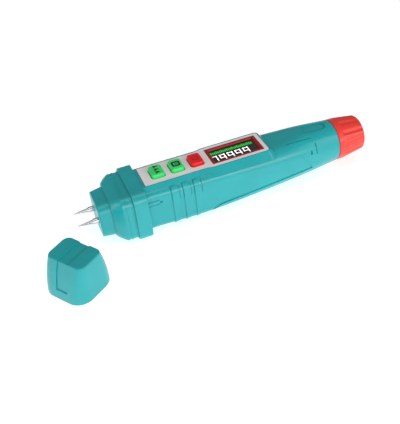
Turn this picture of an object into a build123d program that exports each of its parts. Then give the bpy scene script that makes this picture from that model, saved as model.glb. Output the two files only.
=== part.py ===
from build123d import *
import math
import os

# Pen-type pin moisture meter with its protective cap standing beside the nose.
# The pen is drawn on its own axis: X runs from the nose (negative) to the tail
# (positive), x = 0 is the joint between housing and battery cap, z = 0 the axis.
# Everything is then moved so that the origin is the bottom centre of the whole.

# ---- driving dimensions, millimetres -------------------------------------
WALL = 1.8                # housing wall
FIT = 0.1                 # gap round pieces that sit in each other
RUN = 0.06                # radial clearance of the battery cap on its neck

# housing sections: x, half width, bottom z, top z, corner radius
STATIONS = [
    (-121.8, 14.6, -13.9, 11.9, 4.6),
    (-103.0, 14.9, -14.2, 12.0, 4.6),
    (-84.0, 15.1, -14.4, 12.1, 5.0),
    (-62.0, 14.9, -14.1, 12.1, 6.4),
    (-40.0, 14.4, -13.7, 12.2, 8.2),
    (-17.0, 13.7, -13.6, 13.2, 11.6),
    (-6.0, 13.2, -13.2, 13.1, 12.9),
    (0.0, 12.7, -12.7, 12.7, 12.6),
]
SEAM_Z = -9.6             # joint plane of the two housing shells
LOWER_X = (-121.8, -52.0)  # the lower shell's ends
CAVITY_X = (-121.0, -8.0)  # the hollow's ends
SCREWS = [(-112.0, 8.6), (-112.0, -8.6), (-58.0, 8.6), (-58.0, -8.6)]
SCREW_HEAD = (2.1, -13.5, -12.2)  # radius, bottom and top of a case screw's head
SCREW_SHANK_R = 0.88

# grip ribs, side fields and tail marks
GRIP_X = ((-107.3, -103.0), (-100.4, -96.2), (-94.0, -89.8))
GRIP_STEP = 0.55          # height of a rib's step
GRIP_SINK = 0.08          # how far a rib's tail runs under the surface
GRIP_TOP = 11.7
GRIP_LINE = (0.4, 0.35, 4.0)  # width, depth and lowest point of the end grooves
FIELD_DEPTH = 0.5
PILL = (15.0, 8.4, 0.8)   # length, width and depth of the thumb recess
PILL_X = -12.0
CREASE = (16.0, 0.55, 0.5)
CREASE_AT = (-25.8, 7.6)
ARC_X = (-16.4, -15.9)
NOTCH_X = (-20.4, -19.2)

# collar ring, shoulder and nose: x, width, height, corner radius, centre height
RING_X = (-130.0, -121.9)
RING_SIZE = (36.2, 31.3)
RING_R = 5.6
RING_Z = -0.95
FLANGE_SIZE = (31.4, 26.8)
SHOULDER = [
    (-141.6, 26.0, 24.2, 5.6, -0.6),
    (-138.9, 30.6, 27.5, 5.9, -0.9),
    (-136.0, 34.2, 29.7, 6.0, -1.1),
]
SHOULDER_END = -130.1
NOSE = [
    (-148.8, 22.2, 21.4, 5.2, -1.4),
    (-141.6, 24.0, 22.8, 5.6, -1.2),
]
NECK_SIZE = (25.0, 20.6)  # the housing's tongue inside the nose block
NECK_X = (-127.0, -121.0)
GROOVE_X = ((-135.6, -133.9), (-133.2, -130.7))
GROOVE_DEPTH = 0.3

# electrodes
PIN_Y = 5.7
PIN_Z = -1.2
PIN_TIP_X = -160.5
PIN_COLLAR_X = -151.9
PIN_COLLAR_R = 1.65
PIN_COLLAR_END = -148.95
PIN_ROOT_R = 1.5
PIN_R = 1.3
PIN_TIP_R = 0.2
PIN_SHANK_R = 1.2
PIN_BACK_X = -137.0
SOCKET_R = 2.6
SOCKET_X = (-148.2, -133.0)

# panel, buttons and display
PANEL_TOP = 14.2
PANEL_T = 0.8
PANEL_X = (-120.0, -45.0)
PANEL_HALF = (8.8, 9.7)
PANEL_STEP_X = (-83.6, -80.2)
PANEL_R = 1.6
PANEL_GAP = 0.32            # shadow line round the panel
HOOD_MARGIN = 0.7
HOOD_DEPTH = 4.4
HOOD_TAPER = 42
HOOD_X = (-121.8, -44.2)
BUTTON_X = (-110.6, -98.9, -87.2)
BUTTON_NAMES = ("max_button", "hold_button", "power_button")
BUTTON_SIZE = (7.6, 10.0)
BUTTON_HEIGHT = 2.3
BUTTON_GAP = 0.45
LCD_X = (-79.2, -47.4)
LCD_HALF = 7.6
LCD_RIM = (2.2, 1.6)

# electronics
PCB_Z = (4.4, 6.0)
PCB_X = (-118.5, -52.0)
PCB_HALF = 10.6
SWITCH_TOP = 9.5
PLUNGER_TOP = 10.35
PLUNGER_R = 1.7

# batteries: two AAA cells side by side
CELL_R = 5.15
CELL_Y = 5.3
CELL_LENGTH = 44.5
CELL_END_X = -1.0
NUB_R = 1.9
NUB_LENGTH = 0.8
SLOT_SIZE = (21.3, 10.8)
SLEEVE_WALL = 0.8
SLEEVE_X = (-50.6, -8.2)

# battery cap and its neck
NECK_R = 11.6
NECK_END = 4.0
CAP_X = (0.15, 18.4)
CAP_R = (12.7, 10.7)
CAP_COLLAR_END = 4.4
CARRIER_R = 10.4
CARRIER_X = (4.5, 6.1)
FLUTES = 12
FLUTE_DEPTH = 0.6

# protective cap, standing on its open end
PCAP_HEIGHT = 21.7
PCAP_STATIONS = [
    # height, size along and across the channel, corner radius, centre
    (0.0, (27.7, 29.3), 8.8, (0.0, 0.0)),
    (9.0, (25.1, 27.6), 7.0, (0.5, -0.4)),
    (PCAP_HEIGHT, (16.8, 24.7), 3.8, (1.3, -1.0)),
]
PCAP_WALL = 1.6
PCAP_RIB = (1.0, 1.2, 6.6)  # thickness, start and end height of an inner rib
PCAP_AT = (-169.8, -32.6)
PCAP_TURN = 35.0
PCAP_CHANNEL = 7.6
PCAP_CHANNEL_DEPTH = 0.6
PCAP_CHANNEL_END = 5.6

FLOOR_Z = RING_Z - RING_SIZE[1] / 2


# ---- helpers -------------------------------------------------------------
def box(x, y, z):
    """A box from three (low, high) pairs."""
    size = (x[1] - x[0], y[1] - y[0], z[1] - z[0])
    centre = ((x[0] + x[1]) / 2, (y[0] + y[1]) / 2, (z[0] + z[1]) / 2)
    return Pos(*centre) * Box(*size)


def rod(x0, x1, r, y=0.0, z=0.0):
    """A cylinder along X."""
    return Pos((x0 + x1) / 2, y, z) * Rot(0, 90, 0) * Cylinder(r, x1 - x0)


def cone(x0, x1, r0, r1, y=0.0, z=0.0):
    """A cone along X, of radius r0 at x0 and r1 at x1."""
    return Pos((x0 + x1) / 2, y, z) * Rot(0, 90, 0) * Cone(r0, r1, x1 - x0)


def post(x, y, z0, z1, r):
    """A cylinder along Z."""
    return Pos(x, y, (z0 + z1) / 2) * Cylinder(r, z1 - z0)


def section(x, width, height, radius, z=0.0):
    """A rounded rectangle across the pen at x."""
    plane = Plane(origin=(x, 0, z), x_dir=(0, 1, 0), z_dir=(1, 0, 0))
    return plane * RectangleRounded(width, height, radius)


def prism(x0, x1, size, radius, z=0.0):
    """A rounded bar along X."""
    return extrude(section(x0, size[0], size[1], radius, z), x1 - x0, dir=(1, 0, 0))


def station_at(x):
    """The housing's section data at x, between two stations."""
    for a, b in zip(STATIONS, STATIONS[1:]):
        if a[0] <= x <= b[0]:
            run = (x - a[0]) / (b[0] - a[0])
            return [p + (q - p) * run for p, q in zip(a, b)]


def body_section(x, inset):
    """The housing's section at x, inset all round (outset if negative)."""
    x, half, low, high, radius = station_at(x)
    width = 2 * (half - inset)
    height = high - low - 2 * inset
    limit = min(width, height) / 2 - 0.02
    return section(x, width, height, min(max(radius - inset, 1.0), limit), (low + high) / 2)


def body_form(inset=0.0):
    """The housing's outer form, or the same form inset all round."""
    return loft([body_section(s[0], inset) for s in STATIONS])


def panel_outline(margin, nose_x, display_x):
    """The panel's plan: narrow by the buttons, wider round the display."""
    narrow = PANEL_HALF[0] + margin
    wide = PANEL_HALF[1] + margin
    points = [
        (nose_x, -narrow), (PANEL_STEP_X[0], -narrow), (PANEL_STEP_X[1], -wide), (display_x, -wide),
        (display_x, wide), (PANEL_STEP_X[1], wide), (PANEL_STEP_X[0], narrow), (nose_x, narrow),
    ]
    face = make_face(Polyline(*points, close=True))
    corners = [v for v in face.vertices() if abs(v.X - display_x) < 0.01]
    return fillet(corners, PANEL_R + margin)


def hood():
    """The raised bed of the panel, with sides that slope into the housing."""
    top = Pos(0, 0, PANEL_TOP) * panel_outline(HOOD_MARGIN, HOOD_X[0], HOOD_X[1])
    bed = extrude(top, HOOD_DEPTH, dir=(0, 0, -1), taper=-HOOD_TAPER)
    return bed & box((STATIONS[0][0], 0), (-20, 20), (0, 20))


def button_opening(x, gap, z0, z1):
    size = (BUTTON_SIZE[0] + 2 * gap, BUTTON_SIZE[1] + 2 * gap)
    face = Pos(x, 0, z0) * RectangleRounded(size[0], size[1], 1.6 + gap)
    return extrude(face, z1 - z0)


def slot_form(x0, x1, size):
    """The rounded slot across both cells."""
    return prism(x0, x1, size, size[1] / 2 - 0.01)


# ---- housing -------------------------------------------------------------
def grip_ribs():
    """Three ramped ribs round both sides and the underside; each steps up towards the nose."""
    ribs = []
    for start, end in GRIP_X:
        ramp = loft([body_section(start, -GRIP_STEP), body_section(end, GRIP_SINK)])
        ribs.append(ramp & box((start, end), (-20, 20), (-20, GRIP_TOP)))
    return ribs


def grip_lines(outer):
    """Fine grooves at both ends of each rib, on the rounded edge beside the panel."""
    rind = outer - body_form(GRIP_LINE[1])
    cuts = []
    for start, end in GRIP_X:
        for x in (start - GRIP_LINE[0], end):
            cuts.append(rind & box((x, x + GRIP_LINE[0]), (-20, 20), (GRIP_LINE[2], GRIP_TOP)))
    return cuts


def side_recesses(outer):
    """A shallow badge field on each side, left blank, with a slanting front edge."""
    rind = outer - body_form(FIELD_DEPTH)
    outline = [(-77.6, 8.2), (-84.4, -13.0), (-78.6, -9.6), (-18.8, -5.6), (-24.2, 2.4), (-27.0, 6.4)]
    plan = Plane.XZ * make_face(Polyline(*outline, close=True))
    band = extrude(plan, 20, both=True)
    field = rind & band
    return [field & box((-90, -10), (-20, -7), (-20, 20)), field & box((-90, -10), (7, 20), (-20, 20))]


def tail_details(outer):
    """The thumb recess on top of the tail, the creases beside it and two notches."""
    pill = Pos(PILL_X, 0, 10) * extrude(SlotOverall(PILL[0], PILL[1]), 8)
    deep = outer - body_form(PILL[2])
    thin = outer - body_form(CREASE[2])
    cuts = [deep & pill]
    for side in (-1, 1):
        crease = Pos(CREASE_AT[0], side * CREASE_AT[1], 11) * Rot(0, 0, side * 1.0) * Box(CREASE[0], CREASE[1], 8)
        cuts.append(thin & crease)
        cuts.append(thin & box(ARC_X, sorted((side * 9.6, side * 20)), (3.6, 9.4)))
        cuts.append(deep & box(NOTCH_X, sorted((side * 8, side * 20)), (4.2, 6.6)))
    return cuts


def latch_marks():
    """A catch slot with a pin hole on each side just behind the collar."""
    cuts = []
    for side in (-1, 1):
        cuts.append(Pos(-118.2, side * 14.8, 5.4) * Box(6.4, 0.9, 3.2))
        cuts.append(Pos(-113.9, side * 14.8, 5.2) * Rot(90, 0, 0) * Cylinder(0.8, 1.6))
    return cuts


def latch_tongues():
    """The catch tongues that fill the slots to just under the surface."""
    return [Pos(-118.3, side * 14.4, 5.5) * Box(6.8, 0.7, 2.0) for side in (-1, 1)]


def housing():
    """Both shells, before they are parted at the seam."""
    outer = body_form()
    form = outer + hood() + grip_ribs()
    form -= grip_lines(outer)
    form -= side_recesses(outer)
    form -= tail_details(outer)
    form -= latch_marks()
    form += latch_tongues()
    inside = body_form(WALL) & box(CAVITY_X, (-20, 20), (-20, 20))
    lift = box((HOOD_X[0] + 1.6, HOOD_X[1] - 1.8), (-PANEL_HALF[0], PANEL_HALF[0]), (8, PANEL_TOP - PANEL_T - WALL))
    form -= inside + lift
    bed = Pos(0, 0, PANEL_TOP - PANEL_T) * panel_outline(PANEL_GAP, PANEL_X[0] - PANEL_GAP, PANEL_X[1] + PANEL_GAP)
    form -= extrude(bed, 3)
    form += prism(NECK_X[0], NECK_X[1], NECK_SIZE, 3.6, RING_Z)
    form -= prism(NECK_X[0] - 1, NECK_X[1] + 1, (NECK_SIZE[0] - 3, NECK_SIZE[1] - 3), 2.4, RING_Z)
    return form


def screw_posts():
    """Posts of the upper shell that take the case screws."""
    posts = []
    for x, y in SCREWS:
        side = math.copysign(1, y)
        web = box((x - 0.8, x + 0.8), sorted((y, side * 13.4)), (SEAM_Z + 0.6, PCB_Z[0] - 0.1))
        post_form = post(x, y, SEAM_Z, PCB_Z[0] - 0.1, 2.3) + web
        posts.append(post_form - post(x, y, SEAM_Z - 1, SEAM_Z + 7.2, SCREW_SHANK_R + 0.02))
    return posts


def upper_housing(shell):
    lower_space = box(LOWER_X, (-20, 20), (-20, SEAM_Z)) + box((NECK_X[0] - 1, LOWER_X[0]), (-20, 20), (-20, SEAM_Z))
    part = shell - lower_space
    for x in BUTTON_X:
        part -= button_opening(x, BUTTON_GAP, 8, PANEL_TOP + 1)
    part -= box((LCD_X[0] + 1.0, LCD_X[1] - 1.0), (-LCD_HALF + 0.8, LCD_HALF - 0.8), (8, PANEL_TOP + 1))
    part += screw_posts()
    part -= rod(-0.4, 0.0, 20) - cone(-0.4, 0.0, CAP_R[0], CAP_R[0] - 0.35)
    part += rod(-1.0, NECK_END, NECK_R - 0.4)
    part += rod(0.0, 0.7, NECK_R) + rod(NECK_END - 0.7, NECK_END, NECK_R)
    part -= rod(1.0, 1.9, NECK_R + 1) - rod(1.0, 1.9, NECK_R - 0.72)
    part -= slot_form(CAVITY_X[1] - 1, NECK_END + 1, SLOT_SIZE)
    return part


def lower_housing(shell):
    part = shell & box(LOWER_X, (-20, 20), (-20, SEAM_Z - 0.08))
    for x, y in SCREWS:
        part += post(x, y, -13.0, SEAM_Z - 0.08, SCREW_HEAD[0] + 0.8)
        part -= post(x, y, -20, SEAM_Z + 1, 1.25)
        part -= post(x, y, -20, SCREW_HEAD[2], SCREW_HEAD[0] + 0.2)
    return part


def case_screws():
    """Four pan-head screws, driven up from below."""
    screws = []
    for x, y in SCREWS:
        radius, low, high = SCREW_HEAD
        head = post(x, y, low, high, radius)
        shank = post(x, y, high, SEAM_Z + 6.4, SCREW_SHANK_R)
        cross = Pos(x, y, low) * (Box(2.6, 0.55, 1.2) + Box(0.55, 2.6, 1.2))
        screws.append(head + shank - cross)
    return Compound(screws)


# ---- nose ----------------------------------------------------------------
def collar_ring():
    ring = prism(RING_X[0], RING_X[1], RING_SIZE, RING_R, RING_Z)
    rims = ring.edges().filter_by(lambda e: abs(e.center().X - RING_X[0]) < 0.01)
    ring = chamfer(rims, 0.45)
    rims = ring.edges().filter_by(lambda e: abs(e.center().X - RING_X[1]) < 0.01)
    ring = chamfer(rims, 0.3)
    hole = (FLANGE_SIZE[0] + 2 * FIT, FLANGE_SIZE[1] + 2 * FIT)
    return ring - prism(RING_X[0] - 1, RING_X[1] + 1, hole, 4.1, RING_Z)


def nose_block():
    """The electrode holder: nose, flared shoulder with two grooves, rear flange."""
    tip = loft([section(*s) for s in NOSE])
    front = tip.edges().filter_by(lambda e: abs(e.center().X - NOSE[0][0]) < 0.01)
    part = fillet(front, 0.7)
    part += loft([section(*s) for s in SHOULDER])
    x, width, height, radius, z = SHOULDER[-1]
    part += prism(x, SHOULDER_END, (width, height), radius, z)
    part += prism(SHOULDER_END, RING_X[1] - 0.1, FLANGE_SIZE, 4.0, RING_Z)
    floor = (width - 2 * GROOVE_DEPTH, height - 2 * GROOVE_DEPTH)
    for x0, x1 in GROOVE_X:
        part -= prism(x0, x1, (50, 50), 6, z) - prism(x0, x1, floor, radius - GROOVE_DEPTH, z)
    part += Pos(-134.9, 9.6, z + height / 2 - 0.3) * Box(4.6, 0.8, 1.2)
    pocket = (NECK_SIZE[0] + 2 * FIT, NECK_SIZE[1] + 2 * FIT)
    part -= prism(-132.4, RING_X[1] + 1, pocket, 3.7, RING_Z)
    for side in (-1, 1):
        part -= rod(SOCKET_X[0], SOCKET_X[1] + 1, SOCKET_R + 0.02, side * PIN_Y, PIN_Z)
        part -= rod(NOSE[0][0] - 1, SOCKET_X[0] + 1, PIN_ROOT_R + 0.05, side * PIN_Y, PIN_Z)
    return part


def electrode_pin(side):
    """A steel needle on a stepped collar, held in its socket."""
    y = side * PIN_Y
    needle = cone(PIN_TIP_X, PIN_COLLAR_X, PIN_TIP_R, PIN_R, y, PIN_Z)
    collar = rod(PIN_COLLAR_X, PIN_COLLAR_END, PIN_COLLAR_R, y, PIN_Z)
    root = rod(PIN_COLLAR_END, SOCKET_X[0], PIN_ROOT_R, y, PIN_Z)
    shank = rod(SOCKET_X[0], PIN_BACK_X, PIN_SHANK_R, y, PIN_Z)
    return needle + collar + root + shank


def electrode_socket(side):
    """A brass sleeve in the nose block that grips the pin's shank."""
    y = side * PIN_Y
    sleeve = rod(SOCKET_X[0] + 0.02, SOCKET_X[1], SOCKET_R, y, PIN_Z)
    tail = rod(SOCKET_X[1], SOCKET_X[1] + 1.6, 1.0, y, PIN_Z)
    return sleeve + tail - rod(SOCKET_X[0] - 1, PIN_BACK_X, PIN_SHANK_R + 0.01, y, PIN_Z)


def electrode_lead(side):
    """The short wire from a socket up to the circuit board."""
    y = side * PIN_Y
    start = Vector(SOCKET_X[1] + 1.6, y, PIN_Z)
    path = FilletPolyline(start, (-124.0, y, PIN_Z), (-118.0, y, 0.6), (-115.0, y, 0.6), (-115.0, y, PCB_Z[0]), radius=1.6)
    return sweep(Plane(origin=start, z_dir=(1, 0, 0)) * Circle(0.6), path=path)


# ---- panel, buttons, display ---------------------------------------------
def panel_overlay():
    face = Pos(0, 0, PANEL_TOP - PANEL_T) * panel_outline(0, *PANEL_X)
    part = extrude(face, PANEL_T)
    for x in BUTTON_X:
        part -= button_opening(x, BUTTON_GAP, 8, PANEL_TOP + 1)
    return part - box((LCD_X[0] - 0.05, LCD_X[1] + 0.05), (-LCD_HALF - 0.05, LCD_HALF + 0.05), (8, PANEL_TOP + 1))


def lcd_bezel():
    base = PANEL_TOP - PANEL_T
    outer = box(LCD_X, (-LCD_HALF, LCD_HALF), (base, PANEL_TOP + 0.15))
    inner = (LCD_X[0] + LCD_RIM[0], LCD_X[1] - LCD_RIM[0])
    half = LCD_HALF - LCD_RIM[1]
    slope = Pos((inner[0] + inner[1]) / 2, 0, base) * Rectangle(inner[1] - inner[0], 2 * half)
    return outer - extrude(slope, 3, taper=-20) - extrude(slope, -1)


def lcd_window():
    inset = (LCD_X[0] + 1.1, LCD_X[1] - 1.1)
    return box(inset, (-LCD_HALF + 0.9, LCD_HALF - 0.9), (12.3, PANEL_TOP - PANEL_T - 0.02))


def lcd_module():
    return box((LCD_X[0] + 0.4, LCD_X[1] - 0.4), (-8.0, 8.0), (8.9, 11.5))


def lcd_backlight():
    return box((LCD_X[0] + 0.4, LCD_X[1] - 0.4), (-8.0, 8.0), (7.2, 8.8))


def display_flex():
    """The strip connector between the display glass and the board."""
    return box((LCD_X[0] - 2.2, LCD_X[0] + 0.3), (-6.5, 6.5), (PCB_Z[1], 9.6)) - box(
        (LCD_X[0] - 1.6, LCD_X[0] + 0.4), (-7, 7), (PCB_Z[1] + 0.5, 9.1))


def button(x):
    """A key cap: domed pad, straight sides, retaining flange and stem."""
    pad = button_opening(x, 0.0, 11.3, PANEL_TOP + BUTTON_HEIGHT)
    top = pad.faces().sort_by(Axis.Z)[-1]
    pad = fillet(top.edges(), 0.9)
    flange = box((x - BUTTON_SIZE[0] / 2 - 1.0, x + BUTTON_SIZE[0] / 2 + 1.0), (-6.2, 6.2), (10.7, 11.3))
    return pad + flange + post(x, 0, PLUNGER_TOP, 10.7, 1.8)


def switch_plunger(x):
    return post(x, 0, 8.6, PLUNGER_TOP, PLUNGER_R)


def tact_switches():
    """Three surface-mount push switches on the board."""
    bodies = []
    for x in BUTTON_X:
        case = box((x - 3.1, x + 3.1), (-3.1, 3.1), (PCB_Z[1], SWITCH_TOP))
        bodies.append(case - post(x, 0, 7.7, SWITCH_TOP + 1, PLUNGER_R + 0.06))
    return Compound(bodies)


# ---- electronics ---------------------------------------------------------
def main_board():
    board = box(PCB_X, (-PCB_HALF, PCB_HALF), PCB_Z)
    for x, y in SCREWS:
        board -= post(x, y, PCB_Z[0] - 1, PCB_Z[1] + 1, 1.4)
    return board


def board_parts():
    """Controller, amplifier and passive parts under the board."""
    z = PCB_Z[0]
    chips = [box((-92.0, -82.0), (-5, 5), (z - 1.4, z)), box((-104.0, -99.0), (-2.0, 3.0), (z - 1.5, z))]
    for i in range(5):
        x = -78.0 + 3.6 * i
        chips.append(box((x, x + 2.0), (-6.6, -5.4), (z - 0.8, z)))
    chips.append(Pos(-70.0, 3.0, z - 2.2) * Cylinder(2.6, 4.4))
    return Compound(chips)


# ---- battery bay ---------------------------------------------------------
def battery_sleeve():
    size = (SLOT_SIZE[0] + 2 * SLEEVE_WALL, SLOT_SIZE[1] + 2 * SLEEVE_WALL)
    tube = slot_form(SLEEVE_X[0], SLEEVE_X[1], size)
    return tube - slot_form(SLEEVE_X[0] + SLEEVE_WALL, SLEEVE_X[1] + 1, SLOT_SIZE)


def cell(side):
    """An AAA cell; its nub faces the tail for side = 1, the nose for side = -1."""
    y = side * CELL_Y
    end = CELL_END_X
    start = end - CELL_LENGTH
    if side > 0:
        return rod(start, end - NUB_LENGTH, CELL_R, y) + rod(end - NUB_LENGTH, end, NUB_R, y)
    return rod(start + NUB_LENGTH, end, CELL_R, y) + rod(start, start + NUB_LENGTH, NUB_R, y)


def battery_spring():
    """The coil that presses on the flat end of cell 1."""
    x0 = CELL_END_X - CELL_LENGTH - 3.6
    helix = Helix(pitch=1.0, height=3.0, radius=2.6)
    coil = sweep(Plane(origin=helix @ 0, z_dir=helix % 0) * Circle(0.3), path=helix)
    return Pos(x0 + 0.3, CELL_Y, 0) * Rot(0, 90, 0) * coil


def battery_plate():
    """The sprung plate under the nub of cell 2."""
    x0 = CELL_END_X - CELL_LENGTH - 3.8
    foot = box((x0, x0 + 0.3), (-CELL_Y - 3.4, -CELL_Y + 3.4), (-4.2, 4.2))
    leaf = box((x0, x0 + 3.6), (-CELL_Y - 1.8, -CELL_Y + 1.8), (3.6, 3.9))
    tip = box((x0 + 3.3, x0 + 3.6), (-CELL_Y - 1.8, -CELL_Y + 1.8), (-2.6, 3.9))
    return foot + leaf + tip


def battery_leads():
    """Two wires from the battery contacts to the board."""
    wires = []
    for y in (-CELL_Y, CELL_Y):
        start = Vector(SLEEVE_X[0] - 0.1, y, 1.0)
        path = FilletPolyline(start, (-54.0, y, 1.0), (-54.0, y, PCB_Z[0]), radius=1.4)
        wires.append(sweep(Plane(origin=start, z_dir=(-1, 0, 0)) * Circle(0.6), path=path))
    return Compound(wires)


# ---- battery cap ---------------------------------------------------------
def cap_radius(x):
    run = (x - CAP_COLLAR_END) / (CAP_X[1] - CAP_COLLAR_END)
    return CAP_R[0] - (CAP_R[0] - CAP_R[1]) * max(run, 0)


def battery_cap():
    end = CAP_X[1]
    profile = Polyline((CAP_X[0], 0), (CAP_X[0], CAP_R[0]), (CAP_COLLAR_END, CAP_R[0]), (end, CAP_R[1]), (end, 0), close=True)
    solid = revolve(Plane.XY * make_face(profile), Axis.X)
    rim = solid.edges().filter_by(lambda e: abs(e.center().X - end) < 0.01)
    solid = fillet(rim, 1.5)
    cutter_r = 3.2
    slope = math.degrees(math.atan2(CAP_R[0] - CAP_R[1], end - CAP_COLLAR_END))
    start = CAP_COLLAR_END + 0.9
    middle = (start + end + 2) / 2
    centre = cap_radius(middle) + cutter_r - FLUTE_DEPTH
    length = end + 2 - start
    for i in range(FLUTES):
        bar = Rot(0, 90, 0) * Cylinder(cutter_r, length) + Pos(-length / 2, 0, 0) * Sphere(cutter_r)
        solid -= Rot(360 / FLUTES * (i + 0.5), 0, 0) * Pos(middle, 0, centre) * Rot(0, slope, 0) * bar
    solid -= rod(CAP_X[0] - 1, NECK_END + 0.4, NECK_R + RUN)
    solid -= rod(NECK_END, CARRIER_X[1] + 0.1, CARRIER_R + FIT)
    return solid - rod(CARRIER_X[1], end - 1.8, 8.6)


def cap_o_ring():
    ring = Rot(0, 90, 0) * Torus(NECK_R - 0.35, 0.35)
    return Pos(1.45, 0, 0) * ring


def contact_carrier():
    """A disc in the cap, keyed in the slot so it slides but doesn't turn."""
    disc = rod(CARRIER_X[0], CARRIER_X[1], CARRIER_R)
    key_size = (SLOT_SIZE[0] - 0.3, SLOT_SIZE[1] - 0.3)
    key = slot_form(CELL_END_X + 0.6, CARRIER_X[0], key_size)
    hollow = slot_form(CELL_END_X + 1.8, CARRIER_X[0], (key_size[0] - 2.4, key_size[1] - 2.4))
    return disc + key - hollow


def bridge_contact():
    """The strip that joins the two cells."""
    x0 = CELL_END_X + 0.25
    return prism(x0, x0 + 0.35, (16.6, 6.4), 1.6)


# ---- protective cap ------------------------------------------------------
def pcap_loft(inset):
    """The cap's outer form, or the same form inset all round."""
    faces = []
    for z, size, radius, centre in PCAP_STATIONS:
        shape = RectangleRounded(size[0] - 2 * inset, size[1] - 2 * inset, radius - inset)
        faces.append(Pos(centre[0], centre[1], z) * shape)
    return loft(faces)


def pcap_ribs():
    """Upright ribs inside the mouth, on its two wide sides, that grip the nose."""
    reach = NOSE[1][2] / 2 + 0.15
    thick, low, high = PCAP_RIB
    ribs = []
    for side in (-1, 1):
        for x in (-5.5, 5.5):
            ribs.append(box((x - thick / 2, x + thick / 2), sorted((side * reach, side * 15)), (low, high)))
    return ribs


def protective_cap():
    """A hollow tapered hood, its closed end a little off centre and crossed by a thumb channel."""
    form = pcap_loft(0.0)
    edge = form.faces().sort_by(Axis.Z)[-1].edges()
    solid = fillet(edge, 0.9)
    inside = pcap_loft(PCAP_WALL) & box((-20, 20), (-20, 20), (-1, PCAP_HEIGHT - PCAP_WALL))
    solid -= inside
    solid += [rib & pcap_loft(PCAP_WALL / 2) for rib in pcap_ribs()]
    core = pcap_loft(PCAP_CHANNEL_DEPTH) & box((-20, 20), (-20, 20), (-1, PCAP_HEIGHT - PCAP_CHANNEL_DEPTH))
    across = PCAP_STATIONS[-1][3][1]
    strip = box((-30, 30), (across - PCAP_CHANNEL / 2, across + PCAP_CHANNEL / 2), (PCAP_CHANNEL_END, 40))
    return solid - ((form - core) & strip)


# ---- assembly ------------------------------------------------------------
def build():
    """Every node by name, in the pen's own coordinates."""
    shell = housing()
    nodes = {
        "upper_housing": upper_housing(shell),
        "lower_housing": lower_housing(shell),
        "case_screws": case_screws(),
        "collar_ring": collar_ring(),
        "nose_block": nose_block(),
        "electrode_pin_left": electrode_pin(-1),
        "electrode_pin_right": electrode_pin(1),
        "electrode_sockets": Compound([electrode_socket(-1), electrode_socket(1)]),
        "electrode_leads": Compound([electrode_lead(-1), electrode_lead(1)]),
        "panel_overlay": panel_overlay(),
        "lcd_bezel": lcd_bezel(),
        "lcd_window": lcd_window(),
        "lcd_module": lcd_module(),
        "lcd_backlight": lcd_backlight(),
        "display_connector": display_flex(),
        "tact_switches": tact_switches(),
        "main_board": main_board(),
        "board_parts": board_parts(),
        "battery_sleeve": battery_sleeve(),
        "battery_1": cell(1),
        "battery_2": cell(-1),
        "battery_spring": battery_spring(),
        "battery_plate": battery_plate(),
        "battery_leads": battery_leads(),
        "cap_o_ring": cap_o_ring(),
        "contact_carrier": contact_carrier(),
        "bridge_contact": bridge_contact(),
        "battery_cap": battery_cap(),
    }
    for name, x in zip(BUTTON_NAMES, BUTTON_X):
        nodes[name] = button(x)
        nodes[name.replace("button", "plunger")] = switch_plunger(x)
    stand = Pos(PCAP_AT[0], PCAP_AT[1], FLOOR_Z) * Rot(0, 0, PCAP_TURN)
    nodes["protective_cap"] = stand * protective_cap()
    return nodes


def write_all():
    """Move the whole to its bottom centre and write one file per node."""
    os.makedirs("parts", exist_ok=True)
    nodes = build()
    extent = Compound(list(nodes.values())).bounding_box()
    shift = Pos(-(extent.min.X + extent.max.X) / 2, -(extent.min.Y + extent.max.Y) / 2, -extent.min.Z)
    for name, shape in nodes.items():
        export_step(shift * shape, f"parts/{name}.step")
    print("pen axis origin is at", [round(v, 4) for v in shift.position])


write_all()
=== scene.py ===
import math

import bmesh
import bpy
from mathutils import Matrix, Vector


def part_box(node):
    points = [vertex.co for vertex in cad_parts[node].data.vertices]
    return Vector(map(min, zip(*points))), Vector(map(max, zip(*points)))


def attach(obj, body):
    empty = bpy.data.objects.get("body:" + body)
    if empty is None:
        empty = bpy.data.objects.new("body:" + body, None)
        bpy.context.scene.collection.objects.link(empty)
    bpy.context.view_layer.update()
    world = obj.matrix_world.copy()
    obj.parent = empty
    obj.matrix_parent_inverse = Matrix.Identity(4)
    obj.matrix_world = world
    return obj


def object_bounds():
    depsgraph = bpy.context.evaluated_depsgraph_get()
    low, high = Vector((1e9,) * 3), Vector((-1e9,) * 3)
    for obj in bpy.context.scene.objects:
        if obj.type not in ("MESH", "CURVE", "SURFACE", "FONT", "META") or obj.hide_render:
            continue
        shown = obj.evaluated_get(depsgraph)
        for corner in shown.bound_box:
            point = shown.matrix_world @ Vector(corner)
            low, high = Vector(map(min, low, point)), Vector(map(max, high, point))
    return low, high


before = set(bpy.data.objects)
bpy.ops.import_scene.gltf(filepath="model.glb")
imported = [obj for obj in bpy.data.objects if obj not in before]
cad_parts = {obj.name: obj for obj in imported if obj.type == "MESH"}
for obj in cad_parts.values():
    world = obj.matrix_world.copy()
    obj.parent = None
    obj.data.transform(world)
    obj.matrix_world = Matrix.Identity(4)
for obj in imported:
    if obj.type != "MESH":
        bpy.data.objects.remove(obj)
CAD_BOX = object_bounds()
MM = 0.001

# ---- places taken from the frame -----------------------------------------
# The pen's own axis: x is counted from the joint of the battery cap.
CAP_LOW, CAP_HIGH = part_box("battery_cap")
CAP_GAP = 0.15 * MM
AXIS = Vector((CAP_LOW.x - CAP_GAP, (CAP_LOW.y + CAP_HIGH.y) / 2, (CAP_LOW.z + CAP_HIGH.z) / 2))
PRINT = 0.03 * MM  # how far printed marks stand off their surface

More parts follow.
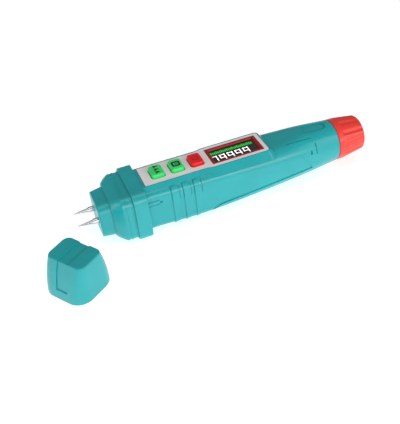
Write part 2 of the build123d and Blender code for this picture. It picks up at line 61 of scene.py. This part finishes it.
# ---- studio --------------------------------------------------------------
CAMERA_FROM_AXIS = Vector((-179.57, -295.33, 236.44)) * MM
CAMERA_X = Vector((0.927, -0.298, 0.227))  # the pen's axes as the camera sees them:
CAMERA_Y = Vector((-0.364, -0.577, 0.731))  # right, down and forward of each
FOCAL_MM = 56.7
SENSOR_MM = 36.0
FLOOR_SIZE = 6.0
WORLD_LIGHT = 0.25

# white softboxes: place in metres from the object's middle, size in metres, power in watts
LIGHTS = {
    "key_softbox": ((-0.20, -0.75, 0.28), (0.55, 0.35), 1.6),
    "edge_softbox": ((0.29, -0.88, 0.30), (0.50, 0.28), 2.3),
    "left_strip": ((-0.75, -0.10, 0.28), (0.20, 0.55), 1.0),
    "tail_strip": ((0.60, -0.45, 0.35), (0.15, 0.50), 0.8),
    "top_softbox": ((0.0, 0.0, 0.90), (0.50, 0.50), 1.35),
}


def make_camera():
    """The camera stands where the object was seen from, in front of the nose."""
    x = CAMERA_X.normalized()
    y = (CAMERA_Y - x * x.dot(CAMERA_Y)).normalized()
    z = x.cross(y)
    right, down, forward = (Vector((x[i], y[i], z[i])) for i in range(3))
    pose = Matrix((right, -down, -forward)).transposed().to_4x4()
    pose.translation = AXIS + CAMERA_FROM_AXIS
    data = bpy.data.cameras.new("camera")
    data.sensor_fit = "VERTICAL"
    data.sensor_height = SENSOR_MM
    data.lens = FOCAL_MM
    data.clip_start = 0.01
    camera = bpy.data.objects.new("camera", data)
    camera.matrix_world = pose
    bpy.context.scene.collection.objects.link(camera)
    bpy.context.scene.camera = camera


def make_light(name, place, size, power, target):
    """A rectangular softbox turned towards the target."""
    data = bpy.data.lights.new(name, "AREA")
    data.shape = "RECTANGLE"
    data.size, data.size_y = size
    data.energy = power
    light = bpy.data.objects.new(name, data)
    light.location = target + Vector(place)
    light.rotation_mode = "QUATERNION"
    light.rotation_quaternion = (target - light.location).to_track_quat("-Z", "Y")
    bpy.context.scene.collection.objects.link(light)


def make_world():
    """A dim even surround."""
    world = bpy.data.worlds.new("studio")
    world.use_nodes = True
    background = world.node_tree.nodes["Background"]
    background.inputs["Color"].default_value = (1.0, 1.0, 1.0, 1.0)
    background.inputs["Strength"].default_value = WORLD_LIGHT
    bpy.context.scene.world = world


# ---- materials -----------------------------------------------------------
class Nodes:
    """A material's node tree with short calls to add to it."""

    def __init__(self, name):
        self.material = bpy.data.materials.new(name)
        self.material.use_nodes = True
        self.tree = self.material.node_tree
        self.shader = self.tree.nodes["Principled BSDF"]

    def add(self, kind, **values):
        node = self.tree.nodes.new(kind)
        for key, value in values.items():
            if key in node.inputs:
                node.inputs[key].default_value = value
            else:
                setattr(node, key, value)
        return node

    def link(self, source, output, target, entry):
        self.tree.links.new(source.outputs[output], target.inputs[entry])

    def noise(self, scale, detail=2.0, roughness=0.5):
        where = self.add("ShaderNodeTexCoord")
        noise = self.add("ShaderNodeTexNoise", Scale=scale, Detail=detail, Roughness=roughness)
        self.link(where, "Object", noise, "Vector")
        return noise

    def ramp(self, source, output, stops):
        """A colour ramp: stops are (position, colour)."""
        ramp = self.add("ShaderNodeValToRGB")
        elements = ramp.color_ramp.elements
        while len(elements) < len(stops):
            elements.new(0.5)
        for element, (position, colour) in zip(elements, stops):
            element.position = position
            element.color = (*colour, 1.0)
        self.link(source, output, ramp, "Fac")
        return ramp

    def spread(self, source, output, low, high, entry):
        """Maps a 0 to 1 value to low to high and feeds it to the shader's entry."""
        remap = self.add("ShaderNodeMapRange")
        remap.inputs["To Min"].default_value = low
        remap.inputs["To Max"].default_value = high
        self.link(source, output, remap, "Value")
        self.link(remap, "Result", self.shader, entry)

    def bump(self, source, output, depth, strength, edge):
        """Surface relief of that depth in metres, over edges eased by edge metres."""
        bump = self.add("ShaderNodeBump", Strength=strength, Distance=depth)
        self.link(source, output, bump, "Height")
        bevel = self.add("ShaderNodeBevel", Radius=edge)
        self.link(bevel, "Normal", bump, "Normal")
        self.link(bump, "Normal", self.shader, "Normal")

    def set(self, **values):
        """Constant values on the shader's own sockets, named with _ for a space."""
        for key, value in values.items():
            self.shader.inputs[key.replace("_", " ")].default_value = value


def shade(colour, factor):
    """The colour made lighter or darker."""
    return tuple(min(1.0, c * factor) for c in colour)


GRAIN_DEPTH = 0.004 * MM


def moulded_plastic(name, colour, rough, grain=9000.0, edge=0.12, coat=0.1):
    """Injection-moulded plastic: slight flow tone, fine spark grain, edges eased by edge mm."""
    nodes = Nodes(name)
    tone = nodes.noise(55.0, 3.0)
    ramp = nodes.ramp(tone, "Fac", [(0.3, shade(colour, 0.93)), (0.7, shade(colour, 1.05))])
    nodes.link(ramp, "Color", nodes.shader, "Base Color")
    fine = nodes.noise(grain, 2.0, 0.6)
    nodes.spread(fine, "Fac", rough * 0.85, rough * 1.2, "Roughness")
    nodes.bump(fine, "Fac", GRAIN_DEPTH, 0.35, edge * MM)
    nodes.set(Coat_Weight=coat, Coat_Roughness=0.12, IOR=1.5)
    return nodes.material


def metal(name, colour, rough, stretch):
    """Turned, drawn or plated metal: fine lines laid by the stretch of the noise."""
    nodes = Nodes(name)
    where = nodes.add("ShaderNodeTexCoord")
    squeeze = nodes.add("ShaderNodeMapping")
    squeeze.inputs["Scale"].default_value = stretch
    nodes.link(where, "Object", squeeze, "Vector")
    rings = nodes.add("ShaderNodeTexNoise", Scale=1.0, Detail=4.0, Roughness=0.7)
    nodes.link(squeeze, "Vector", rings, "Vector")
    ramp = nodes.ramp(rings, "Fac", [(0.25, shade(colour, 0.78)), (0.75, shade(colour, 1.1))])
    nodes.link(ramp, "Color", nodes.shader, "Base Color")
    nodes.spread(rings, "Fac", rough * 0.7, rough * 1.35, "Roughness")
    nodes.bump(rings, "Fac", 0.01 * MM, 0.25, 0.05 * MM)
    nodes.set(Metallic=1.0)
    return nodes.material


def lens(name):
    """Dark smoked window or display glass."""
    nodes = Nodes(name)
    smear = nodes.noise(240.0, 4.0)
    ramp = nodes.ramp(smear, "Fac", [(0.3, (0.006, 0.008, 0.008)), (0.8, (0.014, 0.017, 0.016))])
    nodes.link(ramp, "Color", nodes.shader, "Base Color")
    nodes.spread(smear, "Fac", 0.06, 0.16, "Roughness")
    nodes.set(Coat_Weight=0.6, Coat_Roughness=0.04, IOR=1.5)
    return nodes.material


def glowing(name, colour, strength):
    """A lit display segment, a little uneven."""
    nodes = Nodes(name)
    uneven = nodes.noise(1500.0, 2.0)
    ramp = nodes.ramp(uneven, "Fac", [(0.2, shade(colour, 0.85)), (0.8, colour)])
    nodes.link(ramp, "Color", nodes.shader, "Base Color")
    nodes.link(ramp, "Color", nodes.shader, "Emission Color")
    nodes.set(Emission_Strength=strength, Roughness=0.4)
    return nodes.material


def printed_film(name, colour, rough):
    """Satin printed film with a fine weave of the print screen."""
    nodes = Nodes(name)
    fine = nodes.noise(14000.0, 1.0)
    tone = nodes.noise(90.0, 2.0)
    ramp = nodes.ramp(tone, "Fac", [(0.3, shade(colour, 0.96)), (0.7, shade(colour, 1.03))])
    nodes.link(ramp, "Color", nodes.shader, "Base Color")
    nodes.spread(fine, "Fac", rough * 0.85, rough * 1.15, "Roughness")
    nodes.bump(fine, "Fac", 0.006 * MM, 0.3, 0.05 * MM)
    return nodes.material


def circuit_board(name):
    """Green solder mask with copper tracks just showing through."""
    nodes = Nodes(name)
    where = nodes.add("ShaderNodeTexCoord")
    tracks = nodes.add("ShaderNodeTexBrick", Scale=260.0)
    tracks.inputs["Color1"].default_value = (0.010, 0.16, 0.055, 1.0)
    tracks.inputs["Color2"].default_value = (0.016, 0.20, 0.070, 1.0)
    tracks.inputs["Mortar"].default_value = (0.05, 0.33, 0.12, 1.0)
    tracks.inputs["Mortar Size"].default_value = 0.05
    nodes.link(where, "Object", tracks, "Vector")
    nodes.link(tracks, "Color", nodes.shader, "Base Color")
    nodes.bump(tracks, "Fac", 0.03 * MM, 0.4, 0.06 * MM)
    nodes.set(Roughness=0.32, Coat_Weight=0.4)
    return nodes.material


def cell_jacket(name):
    """A plain dry cell: dark jacket with a bright band by one end."""
    nodes = Nodes(name)
    low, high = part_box("battery_1")
    where = nodes.add("ShaderNodeTexCoord")
    split = nodes.add("ShaderNodeSeparateXYZ")
    nodes.link(where, "Object", split, "Vector")
    along = nodes.add("ShaderNodeMapRange")
    along.inputs["From Min"].default_value = low.x
    along.inputs["From Max"].default_value = high.x
    nodes.link(split, "X", along, "Value")
    steel, dark, band = (0.55, 0.56, 0.58), (0.02, 0.022, 0.026), (0.62, 0.36, 0.10)
    stops = [(0.0, steel), (0.03, dark), (0.70, band), (0.965, steel)]
    ramp = nodes.ramp(along, "Result", stops)
    ramp.color_ramp.interpolation = "CONSTANT"
    nodes.link(ramp, "Color", nodes.shader, "Base Color")
    fine = nodes.noise(3000.0, 2.0)
    nodes.spread(fine, "Fac", 0.22, 0.34, "Roughness")
    nodes.set(Metallic=0.6)
    return nodes.material


# linear colours of the shells, keys and film
TEAL = (0.010, 0.400, 0.425)
RED = (0.88, 0.045, 0.030)
GREEN = (0.045, 0.84, 0.20)
KEY_RED = (0.95, 0.003, 0.006)
PANEL = (0.93, 0.885, 0.90)
BEZEL = (0.34, 0.004, 0.005)


def make_materials():
    """A material for each of the record's slots, the red key, and the printed pieces."""
    ring_lines = (9000.0, 300.0, 300.0)
    grind_lines = (900.0, 9000.0, 9000.0)
    return {
        "teal_shell": moulded_plastic("turquoise_abs", TEAL, 0.30),
        "red_plastic": moulded_plastic("red_abs", RED, 0.30),
        "green_key": moulded_plastic("green_key_plastic", GREEN, 0.34, edge=0.2),
        "panel_grey": printed_film("grey_film", PANEL, 0.45),
        "dark_red": moulded_plastic("dark_red_frame", BEZEL, 0.28, edge=0.1, coat=0.15),
        "lens_dark": lens("smoked_lens"),
        "display_glass": lens("display_cell"),
        "white_plastic": moulded_plastic("white_diffuser", (0.80, 0.80, 0.80), 0.5),
        "rubber_black": moulded_plastic("black_rubber", (0.02, 0.02, 0.02), 0.75, coat=0.0),
        "black_plastic": moulded_plastic("black_plastic", (0.022, 0.022, 0.025), 0.45, coat=0.1),
        "board_green": circuit_board("solder_mask"),
        "cell_can": cell_jacket("cell_jacket"),
        "spring_steel": metal("plated_spring_steel", (0.72, 0.72, 0.74), 0.18, ring_lines),
        "pin_steel": metal("ground_steel", (0.66, 0.66, 0.68), 0.20, ring_lines),
        "zinc_steel": metal("zinc_plate", (0.58, 0.60, 0.63), 0.30, grind_lines),
        "brass": metal("turned_brass", (0.78, 0.56, 0.22), 0.22, ring_lines),
        "wire_red": moulded_plastic("wire_jacket", (0.50, 0.02, 0.02), 0.5, grain=2500.0),
        "power_button": moulded_plastic("red_key_plastic", KEY_RED, 0.34, edge=0.2),
        "ink_black": printed_film("black_ink", (0.008, 0.010, 0.009), 0.5),
        "ink_red": printed_film("dark_red_ink", (0.32, 0.004, 0.004), 0.5),
        "ink_white": printed_film("white_ink", (0.90, 0.88, 0.88), 0.5),
        # painted shade: the dark colour of the ring set in the gap round the film, standing in for the
        # gap's shadow
        "shadow_line": moulded_plastic("painted_gap_shadow", (0.010, 0.085, 0.095), 0.6, coat=0.0),
        "digit_white": glowing("white_segments", (1.0, 1.0, 1.0), 0.9),
        "bar_green": glowing("green_segments", (0.02, 0.62, 0.05), 0.55),
        "bar_dim": glowing("dim_segments", (0.010, 0.10, 0.014), 0.12),
    }


def dress_nodes(materials):
    """Each CAD node keeps its mesh and gets the material of its slot, or one of its own."""
    for name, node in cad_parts.items():
        for place in node.material_slots:
            place.material = materials.get(name) or materials[place.material.name.split(".")[0]]


# ---- mesh helpers --------------------------------------------------------
def new_piece(name, mesh_builder, material, body):
    """A mesh piece that rides on a body; mesh_builder fills an empty bmesh."""
    mesh = bpy.data.meshes.new(name)
    work = bmesh.new()
    mesh_builder(work)
    bmesh.ops.recalc_face_normals(work, faces=work.faces)
    work.to_mesh(mesh)
    work.free()
    mesh.materials.append(material)
    piece = bpy.data.objects.new(name, mesh)
    bpy.context.scene.collection.objects.link(piece)
    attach(piece, body)
    return piece


def add_plate(work, outline, base, height):
    """A closed plate with that outline of (x, y) points, standing on z = base."""
    low = [work.verts.new((x, y, base)) for x, y in outline]
    high = [work.verts.new((x, y, base + height)) for x, y in outline]
    work.faces.new(high)
    work.faces.new(low[::-1])
    for i in range(len(outline)):
        j = (i + 1) % len(outline)
        work.faces.new((low[i], low[j], high[j], high[i]))


def add_ring(work, inner, outer, base, height):
    """A closed flat ring between two outlines with the same number of points."""
    rows = []
    for outline, z in ((inner, base), (outer, base), (outer, base + height), (inner, base + height)):
        rows.append([work.verts.new((x, y, z)) for x, y in outline])
    count = len(inner)
    for r in range(4):
        a, b = rows[r], rows[(r + 1) % 4]
        for i in range(count):
            j = (i + 1) % count
            work.faces.new((a[i], a[j], b[j], b[i]))


def stroke(points, width):
    """The outline of a line of that width through (x, y) points, with mitred corners."""
    sides = ([], [])
    for i, point in enumerate(points):
        here = Vector(point)
        before = (here - Vector(points[i - 1])).normalized() if i else None
        after = (Vector(points[i + 1]) - here).normalized() if i + 1 < len(points) else None
        if before is None or after is None:
            along = after or before
            offset = Vector((-along.y, along.x)) * width / 2
        else:
            bisect = (Vector((-before.y, before.x)) + Vector((-after.y, after.x))).normalized()
            offset = bisect * width / 2 / max(0.35, bisect.dot(Vector((-before.y, before.x))))
        sides[0].append(here + offset)
        sides[1].append(here - offset)
    return [tuple(p) for p in sides[0]] + [tuple(p) for p in reversed(sides[1])]


def rounded_rectangle(centre, size, radius, steps=5):
    """Points round a rectangle with arcs at its corners."""
    points = []
    for corner, (sx, sy) in enumerate(((1, 1), (-1, 1), (-1, -1), (1, -1))):
        cx = centre[0] + sx * (size[0] / 2 - radius)
        cy = centre[1] + sy * (size[1] / 2 - radius)
        for k in range(steps + 1):
            angle = math.pi / 2 * (corner + k / steps)
            points.append((cx + radius * math.cos(angle), cy + radius * math.sin(angle)))
    return points


def outer_loop(node, z):
    """The longest closed outline of a node's faces at height z, as (x, y) points."""
    work = bmesh.new()
    work.from_mesh(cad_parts[node].data)
    bmesh.ops.remove_doubles(work, verts=work.verts, dist=1e-6)
    flat = [f for f in work.faces if all(abs(v.co.z - z) < 1e-5 for v in f.verts)]
    inside = set(flat)
    follows = {}
    for face in flat:
        for loop in face.loops:
            if sum(f in inside for f in loop.edge.link_faces) == 1:
                follows[loop.vert] = loop.link_loop_next.vert
    loops = []
    while follows:
        vert = next(iter(follows))
        ring = []
        while vert in follows:
            ring.append((vert.co.x, vert.co.y))
            vert = follows.pop(vert)
        loops.append(ring)
    work.free()
    return max(loops, key=lambda ring: sum(math.dist(a, b) for a, b in zip(ring, ring[1:] + ring[:1])))


def grown(outline, margin):
    """A closed outline moved outwards by margin; its points run counter-clockwise."""
    moved = []
    count = len(outline)
    for i, point in enumerate(outline):
        before = Vector(point) - Vector(outline[i - 1])
        after = Vector(outline[(i + 1) % count]) - Vector(point)
        normals = [Vector((d.y, -d.x)).normalized() for d in (before, after)]
        bisect = (normals[0] + normals[1]).normalized()
        moved.append(tuple(Vector(point) + bisect * margin / max(0.4, bisect.dot(normals[0]))))
    return moved


# ---- panel print and painted gap shadow ----------------------------------
# The dark ring in the gap round the film is painted shadow of the gap, not a part of the pen.
GAP_SHADOW_REACH = (0.02 * MM, 0.29 * MM)  # inner and outer edge of the dark ring of painted gap shadow, out from the film
GAP_SHADOW_DOWN = 0.5 * MM                 # its foot, below the film's top
GAP_SHADOW_HEIGHT = 0.38 * MM
EDGE_RULE = (-0.55 * MM, -0.08 * MM)  # inner and outer edge of the film's rule
DISPLAY_RULE = (0.05 * MM, 0.65 * MM)  # the same for the rule round the display frame


def panel_lines(materials):
    """A dark ring sat in the gap round the film as painted shadow of the gap, and the film's white
    rules.
    """
    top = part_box("panel_overlay")[1].z
    edge = outer_loop("panel_overlay", top)

    # a dark ring inside the gap round the film: painted shadow of the gap
    def gap_shadow_ring(work):
        inner, outer = (grown(edge, reach) for reach in GAP_SHADOW_REACH)
        add_ring(work, inner, outer, top - GAP_SHADOW_DOWN, GAP_SHADOW_HEIGHT)

    new_piece("panel_gap_shadow", gap_shadow_ring, materials["shadow_line"], "housing")

    def edge_rule(work):
        inner, outer = (grown(edge, reach) for reach in EDGE_RULE)
        add_ring(work, inner, outer, top, PRINT)

    new_piece("panel_edge_rule", edge_rule, materials["ink_white"], "housing")

    def display_rule(work):
        low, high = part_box("lcd_bezel")
        centre = ((low.x + high.x) / 2, (low.y + high.y) / 2)
        rims = []
        for reach, radius in zip(DISPLAY_RULE, (0.3 * MM, 0.9 * MM)):
            size = (high.x - low.x + 2 * reach, high.y - low.y + 2 * reach)
            rims.append(rounded_rectangle(centre, size, radius))
        add_ring(work, *rims, top, PRINT)

    new_piece("display_rule", display_rule, materials["ink_white"], "housing")


# ---- display -------------------------------------------------------------
SEGMENT = 0.60 * MM
DIGIT_SIZE = (2.8 * MM, 4.85 * MM)  # between the middles of the strokes
DIGIT_WAIST = 0.42
DIGIT_PITCH = 4.88 * MM
SHOWN = "79999"
SEGMENTS = {"7": "abc", "9": "abcfg"}  # a top, b c right, f upper left, g middle
DIGITS_LEFT = 0.7 * MM   # from the window's end
DIGITS_DOWN = 5.1 * MM   # their foot, below the window's middle
SCALE_ENDS = (1.2 * MM, 2.3 * MM)  # from the window's two ends
SCALE_UP = 1.8 * MM      # the bars' foot, above the window's middle
SCALE_BARS = 24
BAR_HEIGHT = 1.9 * MM
BAR_TALLER = 0.5 * MM    # every third bar


def digit_strokes(digit, left, foot):
    """The lit segments of one digit as lines; left and foot are its lower left corner."""
    w, h = DIGIT_SIZE
    x0, x1 = left, left + w
    y0, y1, y2 = foot, foot + h * DIGIT_WAIST, foot + h
    lines = {
        "a": [(x0, y2), (x1, y2)],
        "b": [(x1, y1), (x1, y2)],
        "c": [(x1, y0), (x1, y1)],
        "f": [(x0, y1), (x0, y2)],
        "g": [(x0, y1), (x1, y1)],
    }
    return [lines[s] for s in SEGMENTS[digit]]


def lengthened(line, extra):
    """A line made longer by extra at both ends."""
    a, b = Vector(line[0]), Vector(line[1])
    along = (b - a).normalized() * extra
    return [tuple(a - along), tuple(b + along)]


def display_content(materials):
    """White segment digits nearer the user and a green bar scale beyond them."""
    low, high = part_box("lcd_window")
    middle_y = (low.y + high.y) / 2
    left = low.x + DIGITS_LEFT
    foot = middle_y - DIGITS_DOWN

    def digits(work):
        for i, digit in enumerate(SHOWN):
            for line in digit_strokes(digit, left + i * DIGIT_PITCH, foot):
                add_plate(work, stroke(lengthened(line, SEGMENT * 0.42), SEGMENT), high.z, PRINT)

    new_piece("display_digits", digits, materials["digit_white"], "housing")

    bar_left, bar_right = low.x + SCALE_ENDS[0], high.x - SCALE_ENDS[1]
    pitch = (bar_right - bar_left) / SCALE_BARS
    row = middle_y + SCALE_UP

    def bars(work):
        for i in range(SCALE_BARS):
            tall = BAR_HEIGHT + BAR_TALLER * (i % 3 == 0)
            centre = (bar_left + (i + 0.5) * pitch, row + tall / 2)
            outline = rounded_rectangle(centre, (pitch * 0.62, tall), 0.18 * MM, 3)
            add_plate(work, outline, high.z, PRINT)

    new_piece("display_scale", bars, materials["bar_green"], "housing")

    def field(work):
        centre = ((bar_left + bar_right) / 2, row + 1.0 * MM)
        outline = rounded_rectangle(centre, (bar_right - bar_left + 1.2 * MM, 3.2 * MM), 0.4 * MM)
        add_plate(work, outline, high.z, PRINT * 0.4)

    new_piece("display_scale_field", field, materials["bar_dim"], "housing")


# ---- key legends ---------------------------------------------------------
def key_top(node):
    """The middle of a key's top."""
    low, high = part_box(node)
    return (low.x + high.x) / 2, (low.y + high.y) / 2, high.z


def chevron_legend(work, x, y, z):
    """Three chevrons in a row across the key: the peak reading is kept."""
    for i in (-1, 0, 1):
        middle = y + (0.3 + i * 2.75) * MM
        foot, tip, half = x - 1.2 * MM, x + 0.9 * MM, 0.8 * MM
        points = [(foot, middle - half), (tip, middle), (foot, middle + half)]
        add_plate(work, stroke(points, 0.80 * MM), z, PRINT)


def frame_legend(work, x, y, z):
    """A rounded square with three bars: the reading is held."""
    inner = rounded_rectangle((x, y), (2.7 * MM, 2.6 * MM), 0.3 * MM)
    outer = rounded_rectangle((x, y), (5.0 * MM, 4.8 * MM), 1.1 * MM)
    add_ring(work, inner, outer, z, PRINT)
    for i in (-1, 0, 1):
        bar = rounded_rectangle((x + 0.1 * MM, y + i * 0.85 * MM), (1.9 * MM, 0.36 * MM), 0.1 * MM, 2)
        add_plate(work, bar, z, PRINT)


def arc_points(x, y, radius, start, end, steps):
    """Points along an arc between two angles in degrees."""
    angles = [math.radians(start + (end - start) * k / steps) for k in range(steps + 1)]
    return [(x + radius * math.cos(a), y + radius * math.sin(a)) for a in angles]


def power_legend(work, x, y, z):
    """An open ring with an upright bar."""
    add_plate(work, stroke(arc_points(x, y, 1.75 * MM, 125, 415, 30), 0.5 * MM), z, PRINT)
    bar = rounded_rectangle((x, y + 1.5 * MM), (0.5 * MM, 1.9 * MM), 0.2 * MM, 3)
    add_plate(work, bar, z, PRINT)


def key_legends(materials):
    """One sign on each key, printed in that key's ink."""
    legends = (
        ("max_button", "max_key", chevron_legend, "ink_black", "green_key"),
        ("hold_button", "hold_key", frame_legend, "ink_black", "green_key"),
        ("power_button", "power_key", power_legend, "ink_red", "red_plastic"),
    )
    for node, body, draw, ink, slot in legends:
        x, y, z = key_top(node)
        new_piece(node + "_legend", lambda work: draw(work, x, y, z), materials[ink], body)


# ---- thread --------------------------------------------------------------
THREAD_X = (2.1 * MM, 3.2 * MM)  # from the joint of the battery cap
THREAD_CORE = 11.15 * MM         # radius at the foot of the ridge
THREAD_CREST = 11.52 * MM
THREAD_HALF = 0.42 * MM          # half the ridge's width at its foot
THREAD_FLAT = 0.12 * MM          # half its width at the crest
THREAD_TURNS = 0.94
THREAD_STEPS = 67


def thread_ridge(materials):
    """The raised thread between the neck's two lands, uncovered as the cap unscrews."""

    def ridge(work):
        start, end = THREAD_X
        rings = []
        for k in range(THREAD_STEPS + 1):
            run = k / THREAD_STEPS
            fade = max(0.05, min(1.0, 8 * run, 8 * (1 - run)))
            crest = THREAD_CORE + (THREAD_CREST - THREAD_CORE) * fade
            angle = 2 * math.pi * THREAD_TURNS * run
            x = AXIS.x + start + (end - start) * run
            profile = (
                (x - THREAD_HALF, THREAD_CORE),
                (x - THREAD_FLAT, crest),
                (x + THREAD_FLAT, crest),
                (x + THREAD_HALF, THREAD_CORE),
            )
            rings.append([
                work.verts.new((px, AXIS.y + r * math.cos(angle), AXIS.z + r * math.sin(angle)))
                for px, r in profile
            ])
        for a, b in zip(rings, rings[1:]):
            for i in range(4):
                j = (i + 1) % 4
                work.faces.new((a[i], a[j], b[j], b[i]))
        work.faces.new(rings[0])
        work.faces.new(rings[-1][::-1])

    new_piece("neck_thread", ridge, materials["teal_shell"], "housing")


# ---- stage ---------------------------------------------------------------
FLOOR_GLOW = 0.62
FLOOR_WHITE = (0.86, 0.86, 0.86)


def make_floor():
    """A plain pale floor that glows softly, so the object is lit from all round."""
    mesh = bpy.data.meshes.new("floor")
    half = FLOOR_SIZE / 2
    corners = [(-half, -half, 0), (half, -half, 0), (half, half, 0), (-half, half, 0)]
    mesh.from_pydata(corners, [], [(0, 1, 2, 3)])
    nodes = Nodes("pale_floor")
    nodes.set(Roughness=0.9, Emission_Strength=FLOOR_GLOW)
    nodes.shader.inputs["Base Color"].default_value = (*FLOOR_WHITE, 1.0)
    nodes.shader.inputs["Emission Color"].default_value = (1.0, 1.0, 1.0, 1.0)
    nodes.shader.inputs["Specular IOR Level"].default_value = 0.0
    mesh.materials.append(nodes.material)
    floor = bpy.data.objects.new("floor", mesh)
    bpy.context.scene.collection.objects.link(floor)


# ---- making --------------------------------------------------------------
make_camera()
make_world()
middle = (CAD_BOX[0] + CAD_BOX[1]) / 2
for light_name, (place, size, power) in LIGHTS.items():
    make_light(light_name, place, size, power, middle)
make_floor()
palette = make_materials()
dress_nodes(palette)
panel_lines(palette)
display_content(palette)
key_legends(palette)
thread_ridge(palette)
bpy.context.scene.view_settings.view_transform = "Standard"
